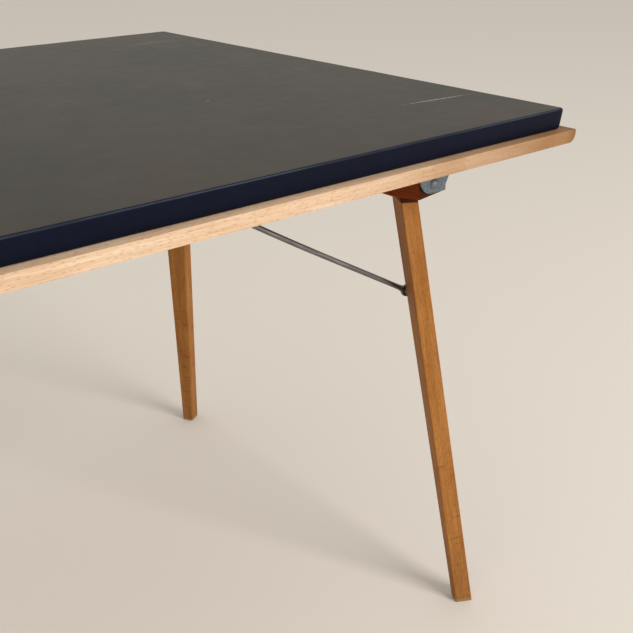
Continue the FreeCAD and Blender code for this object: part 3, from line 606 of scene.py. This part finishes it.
# %% How the cover wanders
def wander(point, out, inset):
    """A few tenths of a millimetre of belly and lump, dying away from the edge inwards."""
    near = max(0.0, 1 - inset / (22 * MM))
    belly = noise.noise(point / (70 * MM)) * 0.30 * MM
    lump = noise.noise(point / (16 * MM) + Vector((3, 5, 7))) * 0.16 * MM
    lift = noise.noise(point / (40 * MM) + Vector((9, 2, 4))) * 0.12 * MM
    return out * (belly + lump) * near + UP * (lift - 0.12 * MM) * near


# %% Skin the rings and stand the cover in for its node
def leatherette_cover():
    shape = bmesh.new()
    loops = []
    for inset, height in outside:
        moved = [point + wander(point, out, inset) for point, out in ring(inset, height)]
        loops.append([shape.verts.new(point) for point in moved])
    for inset, height in inside:
        loops.append([shape.verts.new(point) for point, out in ring(inset, height)])
    for upper, lower in zip(loops, loops[1:]):
        for number in range(len(upper)):
            follower = (number + 1) % len(upper)
            shape.faces.new((upper[number], lower[number], lower[follower], upper[follower]))
    shape.faces.new(loops[0])
    shape.faces.new(reversed(loops[-1]))
    return shape


new_piece("leatherette_cover", leatherette_cover(), leatherette_finish, "leatherette",
          "table_top", "tabletop_cover")

# %% [markdown]
# ## Folded corners
#
# Cloth round a square corner has to go somewhere. The binder folds it like a parcel and glues the
# flap flat on the end of the board, so each end shows a slanted edge near its corners. The flap is
# one layer thick. It is drawn as a five-sided outline on the leaning end, thickened outwards.

# %% Add a flap at each corner
FLAP = ((3.0, 19.5), (6.5, 19.0), (16.0, 5.0), (16.0, 1.5), (3.0, 1.5))   # in from corner, up, in mm
FLAP_THICK = 0.5 * MM


def corner_flap(sign_x, sign_y):
    shape = bmesh.new()
    verts = []
    for inwards, up in FLAP:
        height = board_low.z + up * MM
        out_x = half_long - lean(height) - 0.1 * MM
        side_y = half_deep - lean(height) - CORNER * 0.6 - inwards * MM
        verts.append(shape.verts.new((sign_x * out_x, sign_y * side_y, height)))
    face = shape.faces.new(verts)
    grown = bmesh.ops.extrude_face_region(shape, geom=[face])["geom"]
    layer = [item for item in grown if isinstance(item, bmesh.types.BMVert)]
    bmesh.ops.translate(shape, verts=layer, vec=(sign_x * FLAP_THICK, 0, 0))
    bmesh.ops.recalc_face_normals(shape, faces=shape.faces)
    rim = [edge for edge in shape.edges if all(vert in layer for vert in edge.verts)]
    bmesh.ops.bevel(shape, geom=rim, offset=0.3 * MM, segments=2, affect="EDGES")
    return shape


for end, sign_y in (("front", -1), ("back", 1)):
    for side, sign_x in (("right", 1), ("left", -1)):
        new_piece(f"corner_flap_{end}_{side}", corner_flap(sign_x, sign_y), leatherette_finish,
                  "leatherette", "table_top")

# %% [markdown]
# ## Wood screws
#
# The frame's screws are plain solids. Real ones of this table's age are slotted, with a cone or a
# dome for a head, a bare shank and a cut thread. All of them are turned shapes, so one helper spins
# a profile, and the slot is a thin block taken out of the head. Each frame solid says where its
# screw sits: the long way of its box is the screw's axis and the wide end is the head.

# %% Spin a profile, and split a node into its solids
def spin(shape, profile, frame_to, steps=28):
    """Turn a profile of (radius, height) round Z and place it. Ends on the axis are closed."""
    loops = []
    for radius, height in profile:
        count = 1 if radius == 0 else steps
        angles = [2 * math.pi * step / steps for step in range(count)]
        points = [Vector((radius * math.cos(a), radius * math.sin(a), height)) for a in angles]
        loops.append([shape.verts.new(frame_to @ point) for point in points])
    for one, other in zip(loops, loops[1:]):
        for step in range(steps):
            follower = (step + 1) % steps
            corners = (one[step % len(one)], one[follower % len(one)],
                       other[follower % len(other)], other[step % len(other)])
            shape.faces.new(dict.fromkeys(corners))


def solids_of(node_name):
    """The corner points of each separate solid in a node."""
    shape = bmesh.new()
    shape.from_mesh(nodes[node_name].data)
    bmesh.ops.remove_doubles(shape, verts=shape.verts, dist=0.01 * MM)
    left = set(shape.verts)
    found = []
    while left:
        start = min(left, key=lambda vert: vert.index)
        todo, group = [start], {start}
        while todo:
            for edge in todo.pop().link_edges:
                for vert in edge.verts:
                    if vert not in group:
                        group.add(vert)
                        todo.append(vert)
        left -= group
        found.append([vert.co.copy() for vert in group])
    shape.free()
    return found


# %% Where a screw sits
def screw_place(points):
    """The head's middle, the way into the wood, the length and the head's radius."""
    low = Vector(min(point[axis] for point in points) for axis in range(3))
    high = Vector(max(point[axis] for point in points) for axis in range(3))
    long_axis = max(range(3), key=lambda axis: (high - low)[axis])
    into = Vector([float(axis == long_axis) for axis in range(3)])
    middle, length = (low + high) / 2, (high - low)[long_axis]
    spans = []
    for sign in (-1, 1):
        end_points = [point for point in points if (point - middle).dot(into) * sign > length * 0.3]
        spans.append(max((point - middle).cross(into).length for point in end_points))
    into *= 1 if spans[0] > spans[1] else -1
    return middle - into * length / 2, into, length, max(spans)


# %% The two screws
SHANK, THREAD_PITCH, TIP = 2.0 * MM, 1.4 * MM, 3.0 * MM
THREAD_ROOT, SMOOTH_SHARE = 0.72, 0.45     # root over shank; how much of the length has no thread
SLOT_WIDE, SLOT_DEEP = 0.9 * MM, 1.1 * MM
FIRST_SLOT, NEXT_SLOT = 0.7, 1.9     # the first slot's turn, and how far each next one is turned on


def screw_profile(length, head, domed):
    """From the head's crown, down the shank and its thread, to the point."""
    if domed:
        crown = 1.8 * MM
        curve = [math.pi / 2 * step / 5 for step in range(6)]
        rows = [(head * math.sin(turn), crown * (1 - math.cos(turn))) for turn in curve]
    else:
        rows = [(0, 0), (head - 0.2 * MM, 0), (head, 0.2 * MM), (SHANK, 2.2 * MM)]
    if domed:
        rows.append((SHANK, rows[-1][1]))
    thread_top = length * SMOOTH_SHARE
    rows.append((SHANK, thread_top))
    turns = int((length - TIP - thread_top) / THREAD_PITCH)
    for turn in range(turns):
        height = thread_top + turn * THREAD_PITCH
        rows += [(SHANK * THREAD_ROOT, height + THREAD_PITCH * 0.4),
                 (SHANK, height + THREAD_PITCH * 0.8)]
    rows += [(SHANK * THREAD_ROOT, thread_top + THREAD_PITCH * (turns + 0.3)), (0, length)]
    return rows


def slotted(shape, slot_turn, head):
    """Take the slot out of a screw whose head is at the origin, and give the cut bmesh."""
    mesh = bpy.data.meshes.new("whole_screw")
    shape.to_mesh(mesh)
    shape.free()
    whole = bpy.data.objects.new("whole_screw", mesh)
    blade = bmesh.new()
    size = Matrix.Diagonal((head * 3, SLOT_WIDE, SLOT_DEEP * 2, 1))
    bmesh.ops.create_cube(blade, size=1.0, matrix=Matrix.Rotation(slot_turn, 4, "Z") @ size)
    blade_mesh = bpy.data.meshes.new("slot_blade")
    blade.to_mesh(blade_mesh)
    blade.free()
    cutter = bpy.data.objects.new("slot_blade", blade_mesh)
    for item in (whole, cutter):
        bpy.context.scene.collection.objects.link(item)
    cut = whole.modifiers.new("slot", "BOOLEAN")
    cut.object = cutter
    cut.operation = "DIFFERENCE"
    cut.solver = "EXACT"
    depsgraph = bpy.context.evaluated_depsgraph_get()
    done = bmesh.new()
    done.from_mesh(whole.evaluated_get(depsgraph).to_mesh())
    for item in (whole, cutter):
        bpy.data.objects.remove(item)
    return done


# %% Make every group of screws
def screw_group(node_name, domed):
    """One piece with a slotted screw at each of a node's solids."""
    gathered = bmesh.new()
    for number, points in enumerate(solids_of(node_name)):
        at, into, length, head = screw_place(points)
        single = bmesh.new()
        spin(single, screw_profile(length, head, domed), Matrix.Identity(4))
        bmesh.ops.recalc_face_normals(single, faces=single.faces)
        cut = slotted(single, FIRST_SLOT + NEXT_SLOT * number, head)
        cut.transform(Matrix.Translation(at) @ UP.rotation_difference(into).to_matrix().to_4x4())
        holder = bpy.data.meshes.new("one_screw")
        cut.to_mesh(holder)
        cut.free()
        gathered.from_mesh(holder)
        bpy.data.meshes.remove(holder)
    return gathered


for node_name, domed in (("rail_screws", False), ("bearer_screws", False),
                         ("hinge_plate_screws", True), ("catch_screws", True)):
    new_piece(f"slotted_{node_name}", screw_group(node_name, domed), turned_finish, "screw_steel",
              "table_top", node_name)

# %% [markdown]
# ## Stays
#
# A stay is one length of drawn rod. The smith flattens one end in the fire, which spreads it into
# an eye and leaves a neck that grows from flat to round, and bends the other end into a hook. The
# frame has the eye and rod as plain solids, so the neck is what is missing. The stay is rebuilt as a
# swept bar: a list of places, each with how wide and how thick the bar is there. The joint gives the
# pin's place and axis, and the stud's solid gives where the hook goes.

# %% Sizes of a stay
ROD, EYE_RIM, EYE_HALF, PIN_HOLE = 3.25 * MM, 7.5 * MM, 1.75 * MM, 2.58 * MM
HOOK_GAP, HOOK_WRAP = 1.0 * MM, math.radians(135)
NECK_START, NECK_END, NECK_WIDE = 5.5 * MM, 15 * MM, 4.2 * MM
SAG = 1.6 * MM            # years of use have bowed the rods a little
STUD_SIDE, STUD_DEEP, STUD_HIGH = 0.05, 0.2, 0.62     # roughly where a quarter's own stud is
ALONG_STEPS, HOOK_STEPS, AROUND = 48, 18, 16
HOOK_TIP = ((0.5, 0.86), (0.8, 0.6), (0.98, 0.2))     # beyond the end, and how wide there


def stud_near(point, axis, pin):
    """The stud nearest a point: where its line meets the stay's plane, and its radius."""
    studs = solids_of("catch_studs")
    middles = [sum(points, Vector()) / len(points) for points in studs]
    number = min(range(len(studs)), key=lambda n: (middles[n] - point).length)
    reach = (pin - middles[number]).dot(axis) / DEEP.dot(axis)
    radius = max(abs(corner.z - middles[number].z) for corner in studs[number])
    return middles[number] + DEEP * reach, radius


# %% Sweep a bar through places that each have a width and a thickness
def sweep(shape, rows, axis):
    """rows: (place, way along, half width across, half thickness along the axis)."""
    loops = []
    for place, way, wide, thick in rows:
        side = axis.cross(way).normalized()
        angles = [2 * math.pi * step / AROUND for step in range(AROUND)]
        loops.append([shape.verts.new(place + side * wide * math.cos(a) + axis * thick * math.sin(a))
                      for a in angles])
    for one, other in zip(loops, loops[1:]):
        for step in range(AROUND):
            follower = (step + 1) % AROUND
            shape.faces.new((one[step], one[follower], other[follower], other[step]))
    shape.faces.new(reversed(loops[0]))
    shape.faces.new(loops[-1])


def smooth_step(share):
    share = min(max(share, 0), 1)
    return share * share * (3 - 2 * share)


# %% One stay
def stay_shape(end, side):
    joint = next(j for j in frame["joints"] if j["child"] == f"{end}_{side}_stay")
    pin, axis = Vector(joint["pos_m"]), Vector(joint["axis"]).normalized()
    quarter = Vector((1 if side == "right" else -1, -1 if end == "front" else 1, 0))
    guess = Vector((quarter.x * STUD_SIDE, quarter.y * STUD_DEEP, STUD_HIGH))
    stud, stud_radius = stud_near(guess, axis, pin)
    bend = stud_radius + HOOK_GAP + ROD
    towards = (stud - pin).normalized()
    below = axis.cross(towards)
    below *= -1 if below.z > 0 else 1
    tilt = math.asin(bend / (stud - pin).length)
    along = towards * math.cos(tilt) - below * math.sin(tilt)
    inward = below * math.cos(tilt) + towards * math.sin(tilt)
    run = (stud - pin).dot(along)
    rows = []
    for step in range(ALONG_STEPS + 1):
        reach = NECK_START + (run - NECK_START) * step / ALONG_STEPS
        share = smooth_step((reach - NECK_START) / (NECK_END - NECK_START))
        sag = inward * SAG * math.sin(math.pi * reach / run) ** 2
        rows.append((pin + along * reach + sag, along, NECK_WIDE + (ROD - NECK_WIDE) * share,
                     EYE_HALF + (ROD - EYE_HALF) * share))
    for step in range(1, HOOK_STEPS + 1):
        angle = HOOK_WRAP * step / HOOK_STEPS
        way = along * math.cos(angle) + inward * math.sin(angle)
        out = along * math.sin(angle) - inward * math.cos(angle)
        rows.append((stud + out * bend, way, ROD, ROD))
    for lift, shrink in HOOK_TIP:
        rows.append((stud + out * bend + way * ROD * lift, way, ROD * shrink, ROD * shrink))
    shape = bmesh.new()
    sweep(shape, rows, axis)
    rim = 0.5 * MM
    eye = [(PIN_HOLE, -EYE_HALF), (PIN_HOLE, EYE_HALF), (EYE_RIM - rim, EYE_HALF),
           (EYE_RIM, EYE_HALF - rim), (EYE_RIM, rim - EYE_HALF), (EYE_RIM - rim, -EYE_HALF),
           (PIN_HOLE, -EYE_HALF)]
    to_pin = Matrix.Translation(pin) @ UP.rotation_difference(axis).to_matrix().to_4x4()
    spin(shape, eye, to_pin, steps=40)
    bmesh.ops.remove_doubles(shape, verts=shape.verts, dist=0.005 * MM)
    bmesh.ops.recalc_face_normals(shape, faces=shape.faces)
    return shape, along


# %% Make the four stays
for end in ("front", "back"):
    for side in ("right", "left"):
        shape, along = stay_shape(end, side)
        finish = steel(f"drawn_steel_{end}_{side}", "8b8a88", "55545a", 0.3, 0.34, 0.55,
                       1.1 * MM, along, 30.0)
        new_piece(f"forged_stay_{end}_{side}", shape, finish, "stay_steel",
                  f"{end}_{side}_stay", f"{end}_{side}_stay")

# %% [markdown]
# ## Floor, light and camera
#
# A plain pale floor and big soft lights show the shapes without telling a story of their own. The
# main light is a wide panel in front and a little to the right, as a window would be, and a weak
# one fills from the left. The world is a pale neutral, so that the leatherette has something to
# mirror. The camera stands at waist height, near the board, and looks down across its front corner.

# %% Floor
FLOOR_HALF = 14.0
floor_mesh = bpy.data.meshes.new("floor")
corners = [(x, y, 0) for x, y in ((-1, -1), (1, -1), (1, 1), (-1, 1))]
floor_mesh.from_pydata([(x * FLOOR_HALF, y * FLOOR_HALF, z) for x, y, z in corners], [],
                       [(0, 1, 2, 3)])
floor = bpy.data.objects.new("floor", floor_mesh)
bpy.context.scene.collection.objects.link(floor)
floor_paint = bpy.data.materials.new("pale_floor")
floor_paint.use_nodes = True
floor_surface = floor_paint.node_tree.nodes["Principled BSDF"]
floor_surface.inputs["Base Color"].default_value = linear("d6d2cd")
floor_surface.inputs["Roughness"].default_value = 0.75
floor_mesh.materials.append(floor_paint)

# %% World and lights
world = bpy.data.worlds.new("studio")
bpy.context.scene.world = world
world.use_nodes = True
world.node_tree.nodes["Background"].inputs["Color"].default_value = linear("efe9e0")
world.node_tree.nodes["Background"].inputs["Strength"].default_value = 0.9


def soft_panel(name, place, aim, width, watts, colour):
    """A square area light that faces a point."""
    light = bpy.data.lights.new(name, "AREA")
    light.size = width
    light.energy = watts
    light.color = linear(colour)[:3]
    lamp = bpy.data.objects.new(name, light)
    lamp.location = place
    lamp.rotation_euler = (Vector(place) - Vector(aim)).to_track_quat("Z", "Y").to_euler()
    bpy.context.scene.collection.objects.link(lamp)


AIM_HIGH = 0.4            # both panels face a point a little over half way up
middle = ((cad_box[0][0] + cad_box[1][0]) / 2, (cad_box[0][1] + cad_box[1][1]) / 2, AIM_HIGH)
soft_panel("window_panel", (1.1, -5.2, 3.1), middle, width=2.4, watts=265, colour="fffaf3")
soft_panel("fill_panel", (-3.2, -1.0, 2.0), middle, width=2.2, watts=8, colour="fff6ec")

# %% Camera
CAMERA_PLACE = (-0.4765, -1.0289, 0.9173)
PITCH_DOWN, HEADING = math.radians(23.93), math.radians(41.03)
camera_data = bpy.data.cameras.new("camera")
camera_data.lens = 55.67
camera_data.sensor_width = 36
camera = bpy.data.objects.new("camera", camera_data)
camera.location = CAMERA_PLACE
camera.rotation_euler = (math.pi / 2 - PITCH_DOWN, 0, -HEADING)
bpy.context.scene.collection.objects.link(camera)
bpy.context.scene.camera = camera
bpy.context.scene.view_settings.view_transform = "Standard"
